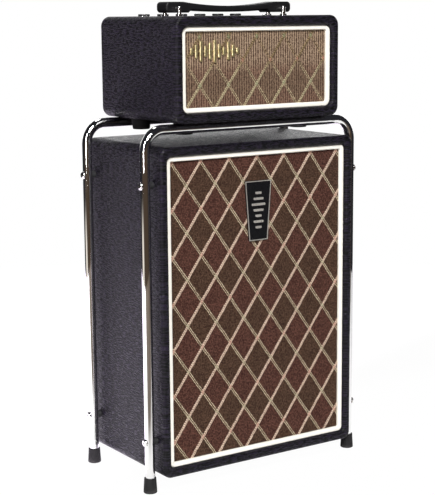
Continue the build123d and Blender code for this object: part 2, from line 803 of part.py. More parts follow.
# Low-voltage inlet: a round mouth with a centre pin.
with BuildPart() as dc_inlet:
    with Locations(rear_spot(dc_inlet_x)):
        Cylinder(dc_mouth_radius, rear_panel_thickness + 1.0,
                 align=(Align.CENTER, Align.CENTER, Align.MAX))
    with BuildSketch(upright(rear_panel_inner)):
        with Locations((dc_inlet_x, rear_socket_z)):
            RectangleRounded(11.0, 11.0, 1.0)
    extrude(amount=12.0)
    with BuildSketch(upright(rear_panel_face)):
        with Locations((dc_inlet_x, rear_socket_z)):
            Circle(2.75)
            Circle(1.0, mode=Mode.SUBTRACT)
    extrude(amount=10.0, mode=Mode.SUBTRACT)
save(dc_inlet, "dc_inlet")

# ================================================================ CONTROLS
chassis_flange = 20.0
chassis_width = 213.6
chassis_depth = 56.0
knob_x = [first_knob_x + knob_pitch * place for place in range(6)]
lamp_x = 61.5
input_x = 75.0
toggle_x = 98.0
pot_bush_radius = 3.7
toggle_bush_radius = 3.0
lamp_radius = 2.5
standoff_x = (-104.0, 54.0)
standoff_y = (controls_y - 13.0, controls_y + 13.0)
board_top = panel_under - 15.0

with BuildPart() as control_panel:
    with BuildSketch(Plane.XY.offset(panel_top)):
        with Locations((0, controls_y)):
            RectangleRounded(chassis_width, chassis_depth, 2.0)
        with Locations(*[(x, controls_y) for x in knob_x]):
            Circle(pot_bush_radius + 0.1, mode=Mode.SUBTRACT)
        with Locations((lamp_x, controls_y)):
            Circle(lamp_radius + 0.1, mode=Mode.SUBTRACT)
        with Locations((input_x, controls_y)):
            Circle(jack_bush_radius + 0.1, mode=Mode.SUBTRACT)
        with Locations((toggle_x, controls_y)):
            Circle(toggle_bush_radius + 0.1, mode=Mode.SUBTRACT)
        with Locations(*chassis_screw_points):
            Circle(panel_screw_shank + 0.2, mode=Mode.SUBTRACT)
    extrude(amount=-panel_thickness)
    flange_y = well_depth / 2 - panel_thickness / 2
    with BuildSketch(Plane.XY.offset(panel_under)):
        with Locations((0, controls_y - flange_y), (0, controls_y + flange_y)):
            Rectangle(well_width - 8.0, panel_thickness)
    extrude(amount=-chassis_flange)
    with BuildSketch(Plane.XY.offset(panel_under)):
        with Locations(*[(x, y) for x in standoff_x for y in standoff_y]):
            Circle(2.5)
    extrude(amount=-(panel_under - board_top))
save(control_panel, "control_panel")

chassis_screw = pan_screw(3.4, 2.0, panel_screw_shank, 9.0)
with BuildPart() as control_panel_screws:
    with Locations(*[Plane(origin=(x, y, panel_under), z_dir=(0, 0, -1)) for x, y in chassis_screw_points]):
        add(chassis_screw)
save(control_panel_screws, "control_panel_screws")

# Rotary controls: bodies and nuts stay with the panel, shafts turn with the knobs.
pot_body_radius = 8.0
pot_body_height = 8.0
pot_bush_height = 6.0
shaft_radius = 3.0
shaft_clearance = 0.05

with BuildPart() as potentiometers:
    for x in knob_x:
        with BuildSketch(Plane.XY.offset(panel_under)):
            with Locations((x, controls_y)):
                Circle(pot_body_radius)
        extrude(amount=-pot_body_height)
        with BuildSketch(Plane.XY.offset(panel_under)):
            with Locations((x, controls_y)):
                Circle(pot_bush_radius)
        extrude(amount=panel_thickness + pot_bush_height)
        with BuildSketch(Plane.XY.offset(panel_under - pot_body_height + 1.0)):
            with Locations((x, controls_y)):
                Circle(shaft_radius + shaft_clearance)
        extrude(amount=pot_body_height + panel_thickness + pot_bush_height, mode=Mode.SUBTRACT)
        with BuildSketch(Plane.XY.offset(panel_top)):
            with Locations((x, controls_y)):
                RegularPolygon(5.7, 6)
                Circle(pot_bush_radius + 0.05, mode=Mode.SUBTRACT)
        extrude(amount=2.2)
save(potentiometers, "potentiometers")

knob_radius = 8.5
knob_gap = 1.0
knob_height = 14.7
knob_cavity_radius = 6.6
knob_cavity_height = 6.4
knob_top = panel_top + knob_gap + knob_height
shaft_top = knob_top - 2.5
shaft_bottom = panel_under - pot_body_height + 1.3
knob_names = ("gain", "treble", "bass", "tremolo", "reverb", "volume")


def knob(x):
    """Skirted knob with a pointer groove and a fluted grip, and the shaft that it is pressed on."""
    centre = (x, controls_y)
    with BuildPart() as piece:
        with BuildSketch(Plane.XY.offset(panel_top + knob_gap)):
            with Locations(centre):
                Circle(knob_radius)
        extrude(amount=knob_height, taper=2.5)
        fillet(piece.faces().sort_by(Axis.Z)[-1].edges(), 1.0)
        with BuildSketch(Plane.XY.offset(panel_top + knob_gap + 4.0)):
            with Locations(centre):
                with PolarLocations(knob_radius + 0.35, 24):
                    Circle(0.75)
        extrude(amount=knob_height, mode=Mode.SUBTRACT)
        with BuildSketch(Plane.XY.offset(knob_top)):
            with Locations((x, controls_y + 4.4)):
                Rectangle(1.1, 5.4)
        extrude(amount=-0.6, mode=Mode.SUBTRACT)
        with BuildSketch(Plane.XY.offset(panel_top + knob_gap)):
            with Locations(centre):
                Circle(knob_cavity_radius)
        extrude(amount=knob_cavity_height, mode=Mode.SUBTRACT)
        with BuildSketch(Plane.XY.offset(panel_top + knob_gap)):
            with Locations(centre):
                Circle(shaft_radius + 0.02)
        extrude(amount=shaft_top - panel_top - knob_gap, mode=Mode.SUBTRACT)
        with BuildSketch(Plane.XY.offset(shaft_bottom)):
            with Locations(centre):
                Circle(shaft_radius)
        extrude(amount=shaft_top - 0.3 - shaft_bottom)
    return piece


for x, control in zip(knob_x, knob_names):
    save(knob(x), f"{control}_knob")

# Bat-handle toggle, tilted to one side at rest.
toggle_bush_height = 4.0
toggle_pivot_z = panel_top + 1.8
toggle_tilt = 12.0
lever_length = 12.6

with BuildPart() as toggle_body:
    with BuildSketch(Plane.XY.offset(panel_under)):
        with Locations((toggle_x, controls_y)):
            Rectangle(8.0, 13.0)
    extrude(amount=-10.0)
    with BuildSketch(Plane.XY.offset(panel_under)):
        with Locations((toggle_x, controls_y)):
            Circle(toggle_bush_radius)
    extrude(amount=panel_thickness + toggle_bush_height)
    with BuildSketch(Plane.XY.offset(panel_top - 0.5)):
        with Locations((toggle_x, controls_y)):
            Circle(2.3)
    extrude(amount=toggle_bush_height + 0.5, mode=Mode.SUBTRACT)
    with BuildSketch(Plane.XY.offset(panel_top)):
        with Locations((toggle_x, controls_y)):
            RegularPolygon(4.9, 6)
            Circle(toggle_bush_radius + 0.05, mode=Mode.SUBTRACT)
    extrude(amount=1.8)
save(toggle_body, "toggle_body")

lever_root = Plane(
    origin=(toggle_x, controls_y, toggle_pivot_z),
    x_dir=(1, 0, 0),
    z_dir=(0, sin(radians(toggle_tilt)), cos(radians(toggle_tilt))),
)
with BuildPart() as toggle_lever:
    with Locations(lever_root):
        Sphere(1.6)
    with BuildSketch(lever_root):
        Circle(0.95)
    extrude(amount=lever_length, taper=-4)
    fillet(toggle_lever.faces().sort_by(Axis.Z)[-1].edges(), 0.8)
save(toggle_lever, "toggle_lever")

with BuildPart() as input_jack:
    with Locations(Plane(origin=(input_x, controls_y, panel_top), z_dir=(0, 0, 1))):
        add(phone_jack(jack_bore_radius, jack_bush_radius, 3.5, panel_thickness, jack_body, jack_depth))
save(input_jack, "input_jack")

with BuildPart() as indicator_lamp:
    with BuildSketch(Plane.XY.offset(panel_under)):
        with Locations((lamp_x, controls_y)):
            Circle(lamp_radius + 0.6)
    extrude(amount=-4.0)
    with BuildSketch(Plane.XY.offset(panel_under)):
        with Locations((lamp_x, controls_y)):
            Circle(lamp_radius)
    extrude(amount=panel_thickness + 2.6)
    fillet(indicator_lamp.faces().sort_by(Axis.Z)[-1].edges(), 2.0)
save(indicator_lamp, "indicator_lamp")

# ================================================================ ELECTRONICS
circuit_length = standoff_x[1] - standoff_x[0] + 8.0
circuit_middle_x = (standoff_x[0] + standoff_x[1]) / 2
circuit_depth = 36.0
circuit_thickness = 1.6
circuit_under = board_top - circuit_thickness
capacitor_spots = [(-80.0, 22.0), (-62.0, 22.0), (-44.0, 22.0), (20.0, 43.0), (38.0, 43.0)]
chip_spots = [(-70.0, 43.0), (-30.0, 40.0), (0.0, 22.0), (34.0, 22.0)]

with BuildPart() as circuit_board:
    with BuildSketch(Plane.XY.offset(board_top)):
        with Locations((circuit_middle_x, controls_y)):
            Rectangle(circuit_length, circuit_depth)
    extrude(amount=-circuit_thickness)
    with BuildSketch(Plane.XY.offset(circuit_under)):
        with Locations(*capacitor_spots):
            Circle(5.0)
    extrude(amount=-12.0)
    with BuildSketch(Plane.XY.offset(circuit_under)):
        with Locations(*chip_spots):
            Rectangle(14.0, 9.0)
    extrude(amount=-3.0)
save(circuit_board, "circuit_board")

fin_count = 9
fin_pitch = 6.0
sink_base_width = 58.0
sink_height = 46.0
sink_z = head_bottom + 52.0
with BuildPart() as heat_sink:
    with BuildSketch(upright(rear_panel_inner)):
        with Locations((-10.0, sink_z + 14.0)):
            Rectangle(sink_base_width, sink_height)
    extrude(amount=4.0)
    with BuildSketch(upright(rear_panel_inner - 4.0)):
        with Locations((-10.0, sink_z + 14.0)):
            with GridLocations(fin_pitch, 0, fin_count, 1):
                Rectangle(1.6, sink_height)
    extrude(amount=12.0)
save(heat_sink, "heat_sink")

# ================================================================ HANDLE
# Moulded strap that sags between two thick ends, each hung on a pin between a pair of chrome posts.
strap_half = 98.4
strap_inner = 64.0       # inner edge of the thick ends
strap_end_bottom = 608.7
strap_end_top = 622.6
strap_low = 609.5
strap_mid_top = 617.3
strap_width = 25.0
shoulder_top_x = strap_inner + 8.0
shoulder_under_x = strap_inner - 4.0
shoulder_under_z = strap_end_bottom + 3.0
post_x = 82.2
post_reach = 17.3        # posts stand this far in front of and behind the strap's middle
post_radius = 3.0
pin_radius = 2.2
pin_z = 613.6

with BuildPart() as handle_strap:
    with BuildSketch(upright(handle_y + strap_width / 2)):
        with BuildLine():
            ThreePointArc((-shoulder_under_x, shoulder_under_z), (0, strap_low),
                          (shoulder_under_x, shoulder_under_z))
            Polyline(
                (shoulder_under_x, shoulder_under_z),
                (strap_inner, strap_end_bottom),
                (strap_half, strap_end_bottom),
                (strap_half, strap_end_top),
                (shoulder_top_x, strap_end_top),
            )
            ThreePointArc((shoulder_top_x, strap_end_top), (0, strap_mid_top),
                          (-shoulder_top_x, strap_end_top))
            Polyline(
                (-shoulder_top_x, strap_end_top),
                (-strap_half, strap_end_top),
                (-strap_half, strap_end_bottom),
                (-strap_inner, strap_end_bottom),
                (-shoulder_under_x, shoulder_under_z),
            )
        make_face()
    extrude(amount=strap_width)
    fillet(handle_strap.edges().filter_by(Axis.Y).group_by(Axis.X)[0], 5.0)
    fillet(handle_strap.edges().filter_by(Axis.Y).group_by(Axis.X)[-1], 5.0)
    fillet(handle_strap.faces().sort_by(Axis.Y)[0].edges(), 2.4)
    fillet(handle_strap.faces().sort_by(Axis.Y)[-1].edges(), 2.4)
    with Locations((-post_x, handle_y, pin_z), (post_x, handle_y, pin_z)):
        Cylinder(pin_radius + 0.1, 2 * strap_width, rotation=(90, 0, 0), mode=Mode.SUBTRACT)
save(handle_strap, "handle_strap")

post_spots = [(x, handle_y + y) for x in (-post_x, post_x) for y in (-post_reach, post_reach)]
post_top = pin_z + post_radius
with BuildPart() as handle_posts:
    with BuildSketch(Plane.XY.offset(head_top)):
        with Locations(*post_spots):
            Circle(post_radius)
    extrude(amount=post_top - head_top)
    fillet(handle_posts.edges().group_by(Axis.Z)[-1], 2.2)
    with BuildSketch(Plane.XY.offset(head_top)):
        with Locations(*post_spots):
            Circle(post_radius + 1.8)
    extrude(amount=2.0)
    with Locations((-post_x, handle_y, pin_z), (post_x, handle_y, pin_z)):
        Cylinder(pin_radius, 2 * post_reach, rotation=(90, 0, 0))
save(handle_posts, "handle_posts")
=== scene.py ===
"""Looks of a compact guitar amplifier stack: a lift-off head on a chrome stand that carries its cabinet."""
import math

import bmesh
import bpy
import mathutils
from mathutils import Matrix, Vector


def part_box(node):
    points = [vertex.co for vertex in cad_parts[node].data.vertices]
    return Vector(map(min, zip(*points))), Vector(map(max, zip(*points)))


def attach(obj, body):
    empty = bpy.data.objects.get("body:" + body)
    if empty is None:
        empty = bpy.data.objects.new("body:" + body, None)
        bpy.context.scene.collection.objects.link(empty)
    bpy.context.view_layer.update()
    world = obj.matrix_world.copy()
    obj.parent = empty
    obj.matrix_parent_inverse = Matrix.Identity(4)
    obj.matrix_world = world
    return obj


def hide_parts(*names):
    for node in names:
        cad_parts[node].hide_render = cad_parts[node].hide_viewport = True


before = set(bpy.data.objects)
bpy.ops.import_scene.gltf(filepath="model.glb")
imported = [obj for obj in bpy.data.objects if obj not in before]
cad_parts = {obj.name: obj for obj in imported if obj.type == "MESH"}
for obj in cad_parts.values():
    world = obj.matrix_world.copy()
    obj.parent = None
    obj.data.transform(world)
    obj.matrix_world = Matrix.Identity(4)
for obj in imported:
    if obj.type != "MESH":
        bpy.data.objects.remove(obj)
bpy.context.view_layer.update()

# ---------------------------------------------------------------- camera
# The view is from the front left, a little above the top of the head, with a long lens.
VIEW_YAW = 0.58937
VIEW_TILT = 0.17122
VIEW_ROLL = -0.00823
ahead = mathutils.Vector((
    math.sin(VIEW_YAW) * math.cos(VIEW_TILT),
    math.cos(VIEW_YAW) * math.cos(VIEW_TILT),
    -math.sin(VIEW_TILT),
))
across = mathutils.Vector((math.cos(VIEW_YAW), -math.sin(VIEW_YAW), 0.0))
upward = across.cross(ahead)
rolled_across = math.cos(VIEW_ROLL) * across + math.sin(VIEW_ROLL) * upward
rolled_upward = math.cos(VIEW_ROLL) * upward - math.sin(VIEW_ROLL) * across
lens = bpy.data.cameras.new("view")
lens.sensor_width = 36.0
lens.lens = 98.03
camera = bpy.data.objects.new("view", lens)
camera.matrix_world = mathutils.Matrix((
    (rolled_across.x, rolled_upward.x, -ahead.x, -1.0102),
    (rolled_across.y, rolled_upward.y, -ahead.y, -1.5025),
    (rolled_across.z, rolled_upward.z, -ahead.z, 0.6062),
    (0, 0, 0, 1),
))
bpy.context.collection.objects.link(camera)
bpy.context.scene.camera = camera


# ---------------------------------------------------------------- rubber tips and feet
# Tapered tips moulded in dark grey rubber are pushed over the four tube ends; the head's own feet are the
# same rubber. The surface is dull and slightly mottled, and paler where it scuffs on the floor.
class Value:
    """A socket in a material. Arithmetic on it adds Math nodes."""

    def __init__(self, tree, socket):
        self.tree = tree
        self.socket = socket

    def node(self, kind, settings=(), inputs=(), output=0):
        """Adds a node: its settings first, then the values or links of its sockets."""
        made = self.tree.nodes.new(kind)
        for name, setting in dict(settings).items():
            if name == "stops":
                ramp = made.color_ramp
                while len(ramp.elements) < len(setting):
                    ramp.elements.new(1.0)
                for element, (place, colour) in zip(ramp.elements, setting):
                    element.position = place
                    element.color = (*colour, 1.0)
            else:
                setattr(made, name, setting)
        for name, value in dict(inputs).items():
            if isinstance(value, Value):
                self.tree.links.new(value.socket, made.inputs[name])
            else:
                made.inputs[name].default_value = value
        return Value(self.tree, made.outputs[output])

    def math(self, operation, *others):
        values = dict(enumerate((self, *others)))
        return self.node("ShaderNodeMath", {"operation": operation}, values)

    def __add__(self, other):
        return self.math("ADD", other)

    def __sub__(self, other):
        return self.math("SUBTRACT", other)

    def __rsub__(self, other):
        return self.node("ShaderNodeMath", {"operation": "SUBTRACT"}, {0: other, 1: self})

    def __mul__(self, other):
        return self.math("MULTIPLY", other)

    def __truediv__(self, other):
        return self.math("DIVIDE", other)

    __radd__ = __add__
    __rmul__ = __mul__

    def step(self, low, high):
        """0 below low, 1 above high, smooth in between."""
        return self.node("ShaderNodeMapRange", {"interpolation_type": "SMOOTHSTEP"},
                         {"Value": self, "From Min": low, "From Max": high})

    def wave(self, period):
        """Cosine of this length over the period, from 0 to 1."""
        return (self * (2 * math.pi / period)).math("COSINE") * 0.5 + 0.5

    def mix(self, first, second):
        """Colour first where this is 0 and second where it is 1."""
        sockets = {0: self, 6: colour(first), 7: colour(second)}
        return self.node("ShaderNodeMix", {"data_type": "RGBA"}, sockets, 2)

    def part(self, axis):
        return self.node("ShaderNodeSeparateXYZ", (), {0: self}, "XYZ".index(axis))

    def noise(self, scale, detail=2.0, roughness=0.5):
        """Noise from 0 to 1 with features of 1 / scale metres."""
        return self.node("ShaderNodeTexNoise", (),
                         {"Vector": self, "Scale": scale, "Detail": detail, "Roughness": roughness})

    def stretch(self, x, y, z):
        return self.node("ShaderNodeVectorMath", {"operation": "MULTIPLY"}, {0: self, 1: (x, y, z)})


def colour(value):
    """A colour link as it is, or three numbers with full alpha."""
    return value if isinstance(value, Value) else (*value, 1.0)


class Finish:
    """A Principled material with the piece's own coordinates, in metres."""

    def __init__(self, name, base, roughness, **sockets):
        self.material = bpy.data.materials.new(name)
        self.material.use_nodes = True
        self.tree = self.material.node_tree
        self.shader = self.tree.nodes["Principled BSDF"]
        self.place = Value(self.tree, None).node("ShaderNodeTexCoord", (), (), 3)
        self.facing = Value(self.tree, None).node("ShaderNodeTexCoord", (), (), 1)
        self.set("Base Color", base)
        self.set("Roughness", roughness)
        for socket, value in sockets.items():
            self.set(socket.replace("_", " "), value)

    def set(self, socket, value):
        if isinstance(value, Value):
            self.tree.links.new(value.socket, self.shader.inputs[socket])
        elif isinstance(value, tuple):
            self.shader.inputs[socket].default_value = (*value, 1.0)
        else:
            self.shader.inputs[socket].default_value = value

    def bump(self, height, depth, strength=1.0):
        """Relief: height from 0 to 1 stands for depth metres."""
        self.set("Normal", height.node("ShaderNodeBump", (),
                                       {"Strength": strength, "Distance": depth, "Height": height}))


def paint(finish, *nodes):
    """Gives CAD nodes a finish through their objects' own material slots."""
    for name in nodes:
        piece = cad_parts[name]
        if not piece.material_slots:
            piece.data.materials.append(finish.material)
        for place in piece.material_slots:
            place.link = "OBJECT"
            place.material = finish.material


rubber = Finish("rubber", (0.035, 0.032, 0.034), 0.7, Specular_IOR_Level=0.25)
mottle = rubber.place.noise(420.0, 4.0)
scuff = (rubber.place.noise(90.0, 3.0) - rubber.place.part("Z") * 60).step(0.05, 0.5)
clean_rubber = mottle.mix((0.006, 0.0055, 0.006), (0.014, 0.013, 0.014))
rubber.set("Base Color", scuff.mix(clean_rubber, (0.03, 0.028, 0.028)))
rubber.set("Roughness", mottle * 0.2 + 0.6)
rubber.bump(rubber.place.noise(1800.0, 2.0), 0.00008)
paint(rubber, "stand_tips", "head_feet")

# ---------------------------------------------------------------- chrome hoops
# Two half-inch steel tubes bent into hoops and chrome plated. The plating is a clear mirror with faint
# polishing lines along the tube and a few hazy patches.
chrome = Finish("tube_chrome", (0.83, 0.825, 0.82), 0.05, Metallic=1.0)
haze = chrome.place.noise(26.0, 4.0).step(0.45, 0.8)
lines = chrome.place.stretch(1400.0, 1400.0, 60.0).noise(1.0, 2.0)
chrome.set("Roughness", haze * 0.05 + lines * 0.03 + 0.025)
chrome.set("Base Color", haze.mix((0.86, 0.855, 0.85), (0.78, 0.775, 0.76)))
chrome.bump(lines, 0.000004)
paint(chrome, "front_hoop", "rear_hoop")

# ---------------------------------------------------------------- hoop fixings
# Eight chrome dome-head screws pass through the tubes and black nylon saddle washers into brass inserts
# that are let into the cabinet's side boards.
screw_chrome = Finish("screw_chrome", (0.85, 0.84, 0.83), 0.12, Metallic=1.0)
turning = screw_chrome.place.noise(900.0, 3.0)
screw_chrome.set("Roughness", turning * 0.12 + 0.05)
screw_chrome.bump(turning, 0.00001)
paint(screw_chrome, "hoop_screws", "handle_posts")

nylon = Finish("black_nylon", (0.02, 0.02, 0.021), 0.35)
nylon_grain = nylon.place.noise(1500.0, 2.0)
nylon.set("Roughness", nylon_grain * 0.2 + 0.25)
nylon.set("Base Color", nylon_grain.mix((0.015, 0.015, 0.016), (0.03, 0.03, 0.031)))
nylon.bump(nylon_grain, 0.00003)
paint(nylon, "hoop_spacers", "speaker_terminals")

brass = Finish("brass_insert", (0.72, 0.53, 0.24), 0.3, Metallic=1.0)
brass.set("Roughness", brass.place.noise(700.0, 3.0) * 0.3 + 0.2)
brass.bump(brass.place.part("X").wave(0.0008), 0.0001)
paint(brass, "hoop_inserts")

# ---------------------------------------------------------------- covering
# Both boxes are wrapped in black vinyl with a fine, wavy grain that runs along the boards. The grain is
# raised in short flat streaks, so that it glitters on the rounded edges. The streaks' tops carry a painted
# highlight and the grain bottoms a painted shade, near black; the purple tone that wanders over them is
# the vinyl's own.
GRAIN_LENGTH = 0.0085
GRAIN_WIDTH = 0.0016
GRAIN_DEPTH = 0.0009
GRAIN_BOTTOM_SHADE = (0.0002, 0.0002, 0.0003)


def vinyl(name):
    """Grained black vinyl whose streaks run level on the upright faces and across on the tops."""
    skin = Finish(name, (0.02, 0.018, 0.021), 0.4, Specular_IOR_Level=0.22)
    flat = skin.facing.part("Z").math("ABSOLUTE").step(0.68, 0.72)
    x = skin.place.part("X")
    y = skin.place.part("Y")
    z = skin.place.part("Z")
    ripple = skin.place.noise(110.0, 2.0) * (2.2 * GRAIN_WIDTH)
    run = x + y * (1 - flat)
    rise = z * (1 - flat) + y * flat + ripple
    streak_place = run.node("ShaderNodeCombineXYZ", (), {0: run / GRAIN_LENGTH, 1: rise / GRAIN_WIDTH})
    streak = streak_place.noise(1.0, 2.5, 0.55)
    pores = skin.place.noise(1300.0, 2.0)
    relief = streak.step(0.45, 0.60)
    tone = skin.place.noise(14.0, 3.0)
    # Painted highlight on the raised streaks, and painted shade, near black, in the grain bottoms.
    raised = tone.mix((0.009, 0.0062, 0.0138), (0.022, 0.0155, 0.034))
    skin.set("Base Color", relief.mix(GRAIN_BOTTOM_SHADE, raised))
    skin.set("Roughness", 0.46 - relief * 0.2 + pores * 0.1)
    skin.bump(relief * 0.85 + pores * 0.15, GRAIN_DEPTH)
    return skin


covering = vinyl("covering")
paint(covering, "cabinet_shell", "head_shell")

# ---------------------------------------------------------------- boards
# Baffles and cleats are raw plywood and softwood, unseen behind the cloth and the rear panels.
wood = Finish("raw_wood", (0.5, 0.36, 0.2), 0.7)
rings = (wood.place.stretch(30.0, 120.0, 6.0).noise(3.0, 4.0) * 9.0).math("FRACT")
wood.set("Base Color", rings.mix((0.56, 0.41, 0.25), (0.40, 0.27, 0.14)))
wood.set("Roughness", 0.65 + rings * 0.15)
wood.bump(rings, 0.0001)
paint(wood, "cabinet_baffle", "cabinet_battens", "head_baffle", "head_battens")

# ---------------------------------------------------------------- grille cloths
# Woven brown cloth is stretched over each baffle. Rows of reddish and olive diamonds alternate, a thick
# twisted cord weaves up to the right and a thin double thread up to the left, over fine upright ribs.
DIAMOND_WIDTH = 0.0435
DIAMOND_HEIGHT = 0.0601
LINE_PITCH = 1 / math.hypot(1 / DIAMOND_WIDTH, 1 / DIAMOND_HEIGHT)
RIB = DIAMOND_WIDTH / 24
CLOTH_THICKNESS = 0.0008
CLOTH_REST = 0.0001      # the cloth lies this far in front of the baffle's face
ROPE_EDGE = (0.0015, 0.0022)
THREAD_EDGE = (0.0014, 0.0019)
THREAD_GAP = (0.0004, 0.0009)
CROSSING_EDGE = (0.0012, 0.0028)
TWIST_LENGTH = 0.0026
STRAND_WIDTH = 0.0013


def cloth_finish(name, crossing_x, crossing_z, glare, ribbing, rope_tone, thread_tone):
    """Diamond cloth with a pinkish crossing at the given place, and painted glare: paler all over by the
    glare's pallor, paler still above the glare heights.
    """
    cloth = Finish(name, (0.1, 0.06, 0.04), 0.95, Specular_IOR_Level=0.15)
    x = cloth.place.part("X")
    z = cloth.place.part("Z")
    glare_from, glare_to, glare_pallor = glare
    # Painted glare: a striped tan wash over the ground, stronger above the glare heights, where the rope and
    # thread take their second, darker tones.
    glare_above = z.step(glare_from, glare_to)
    wander = cloth.place.noise(160.0, 2.0) * 0.05 - 0.025
    u = (x - crossing_x) / DIAMOND_WIDTH + wander
    w = (z - crossing_z) / DIAMOND_HEIGHT
    rising = u - w
    falling = u + w
    off_rising = (rising - rising.math("ROUND")).math("ABSOLUTE") * LINE_PITCH
    off_falling = (falling - falling.math("ROUND")).math("ABSOLUTE") * LINE_PITCH
    row = ((rising.math("FLOOR") + falling.math("FLOOR")) * 0.5).math("FRACT") * 2
    red = row.math("LESS_THAN", 0.5)
    ribs = x.wave(RIB)
    wefts = z.wave(RIB * 1.2)
    fluff = cloth.place.stretch(620.0, 620.0, 460.0).noise(1.0, 2.0).step(0.3, 0.7)
    patches = cloth.place.noise(60.0, 2.0)
    reddish = fluff.mix((0.030, 0.010, 0.007), (0.150, 0.062, 0.044))
    olive = fluff.mix((0.026, 0.012, 0.007), (0.124, 0.067, 0.041))
    ground = red.mix(olive, reddish)
    stripe = (x.wave(2 * RIB) * 0.6 + fluff * 0.4).step(0.2, 0.8)
    glare_colour = stripe.mix((0.060, 0.030, 0.020), (0.430, 0.315, 0.215))
    ground = ((glare_above * 0.55 + glare_pallor) * (0.75 + patches * 0.25)).mix(ground, glare_colour)
    ground = ((ribs * 0.6 + wefts * 0.4) * ribbing).mix(ground, (0.012, 0.006, 0.004))
    twist = (falling * LINE_PITCH + off_rising * 0.8).wave(TWIST_LENGTH)
    strand = off_rising.wave(STRAND_WIDTH)
    rope = 1 - off_rising.step(*ROPE_EDGE)
    rope_light = (twist * 0.5 + strand * 0.3 + fluff * 0.3).step(0.15, 0.95)
    rope_colour = glare_above.mix(rope_light.mix(*rope_tone[:2]), rope_light.mix(*rope_tone[2:]))
    thread = (1 - off_falling.step(*THREAD_EDGE)) * off_falling.step(*THREAD_GAP)
    bead = (rising * LINE_PITCH).wave(TWIST_LENGTH)
    thread_light = (bead * 0.5 + fluff * 0.5).step(0.15, 0.8)
    thread_colour = glare_above.mix(thread_light.mix(*thread_tone[:2]), thread_light.mix(*thread_tone[2:]))
    surface = (thread * 0.95).mix(ground, thread_colour)
    surface = (rope * 0.95).mix(surface, rope_colour)
    crossing = (1 - off_rising.step(*CROSSING_EDGE)) * (1 - off_falling.step(*CROSSING_EDGE))
    pink_row = ((rising.math("ROUND") + falling.math("ROUND")) * 0.5).math("FRACT").math("LESS_THAN", 0.25)
    crossing_colour = pink_row.mix((0.26, 0.30, 0.17), (0.46, 0.21, 0.16))
    surface = (crossing * (0.2 + twist * 0.4)).mix(surface, crossing_colour)
    cloth.set("Base Color", surface)
    cloth.set("Roughness", 0.95 - rope * 0.15)
    raised = (1 - ribs) * 0.35 + wefts * 0.15 + fluff * 0.2
    raised = raised + rope * (0.5 + twist * 0.4) + thread * (0.3 + bead * 0.2)
    cloth.bump(raised, 0.0006, 0.9)
    return cloth


def stretched_cloth(name, node, inset, finish):
    """Sheet of cloth on a baffle: a fine flat grid with rounded corners, given its thickness."""
    low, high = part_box(node)
    half_x = (high[0] - low[0]) / 2
    half_z = (high[2] - low[2]) / 2
    middle_x = (high[0] + low[0]) / 2
    middle_z = (high[2] + low[2]) / 2
    columns, rows = 56, 72
    face = high[1] - CLOTH_REST - CLOTH_THICKNESS
    mesh = bpy.data.meshes.new(name)
    shape = bmesh.new()
    grid = []
    for row in range(rows + 1):
        t = 2 * row / rows - 1
        line = []
        for column in range(columns + 1):
            s = 2 * column / columns - 1
            near_x = max(0.0, abs(s) * half_x - (half_x - inset))
            near_z = max(0.0, abs(t) * half_z - (half_z - inset))
            out = math.hypot(near_x, near_z)
            ease = 1.0 if out <= inset else inset / out
            px = math.copysign(min(abs(s) * half_x, half_x - inset) + near_x * ease, s)
            pz = math.copysign(min(abs(t) * half_z, half_z - inset) + near_z * ease, t)
            line.append(shape.verts.new((middle_x + px, face, middle_z + pz)))
        grid.append(line)
    for lower, upper in zip(grid, grid[1:]):
        for column in range(columns):
            corners = (lower[column], lower[column + 1], upper[column + 1], upper[column])
            shape.faces.new(corners).smooth = True
    shape.to_mesh(mesh)
    shape.free()
    piece = bpy.data.objects.new(name, mesh)
    bpy.context.collection.objects.link(piece)
    mesh.materials.append(finish.material)
    thickness = piece.modifiers.new("thickness", "SOLIDIFY")
    thickness.thickness = CLOTH_THICKNESS
    thickness.offset = -1.0
    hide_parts(node)
    return piece


PALE_ROPE = ((0.16, 0.085, 0.055), (0.74, 0.58, 0.45))
PALE_THREAD = ((0.17, 0.12, 0.07), (0.66, 0.57, 0.40))
DARK_LINE = ((0.012, 0.006, 0.003), (0.30, 0.21, 0.11))
SOFT_LINE = ((0.05, 0.03, 0.015), (0.50, 0.42, 0.26))
CABINET_CROSSING = (-0.1312, 0.3042)
HEAD_CROSSING = (-0.06575, 0.60875)
# The head's cloth carries painted glare, paler all over and paler still from 0.53 m up; the cabinet's cloth
# carries none.
NO_GLARE = (2.0, 3.0, 0.0)
HEAD_GLARE = (0.530, 0.550, 0.40)
cabinet_weave = cloth_finish("cabinet_cloth", *CABINET_CROSSING, NO_GLARE, 0.75,
                             (*PALE_ROPE, *DARK_LINE), (*PALE_THREAD, *DARK_LINE))
cabinet_cloth = stretched_cloth("cabinet_cloth", "cabinet_grille_cloth", 0.007, cabinet_weave)
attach(cabinet_cloth, "stand_and_cabinet")
head_weave = cloth_finish("head_cloth", *HEAD_CROSSING, HEAD_GLARE, 0.35,
                          (*SOFT_LINE, *DARK_LINE), (*SOFT_LINE, *DARK_LINE))
head_cloth = stretched_cloth("head_cloth", "head_grille_cloth", 0.009, head_weave)
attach(head_cloth, "amplifier_head")

# ---------------------------------------------------------------- beading
# Off-white plastic beading is pressed in round each cloth. It is smooth and a little translucent.
beading = Finish("beading", (0.86, 0.83, 0.75), 0.35, Coat_Weight=0.2)
flow = beading.place.noise(38.0, 3.0)
beading.set("Base Color", flow.mix((0.90, 0.875, 0.80), (0.82, 0.79, 0.71)))
beading.set("Roughness", flow * 0.15 + 0.28)
beading.bump(beading.place.noise(800.0, 2.0), 0.00002)
paint(beading, "cabinet_piping", "head_piping")

# ---------------------------------------------------------------- badges
# The cabinet's plaque is gloss black with a bright nickel rim and stacked bars; the head's badge is a row
# of upright bars cast in pale gold. Both are plain ornaments and bear no name.
plaque = Finish("plaque_black", (0.006, 0.006, 0.007), 0.16, Coat_Weight=0.5)
peel = plaque.place.noise(300.0, 2.0)
plaque.set("Roughness", peel * 0.1 + 0.12)
plaque.bump(peel, 0.00003)
paint(plaque, "cabinet_badge_plate")

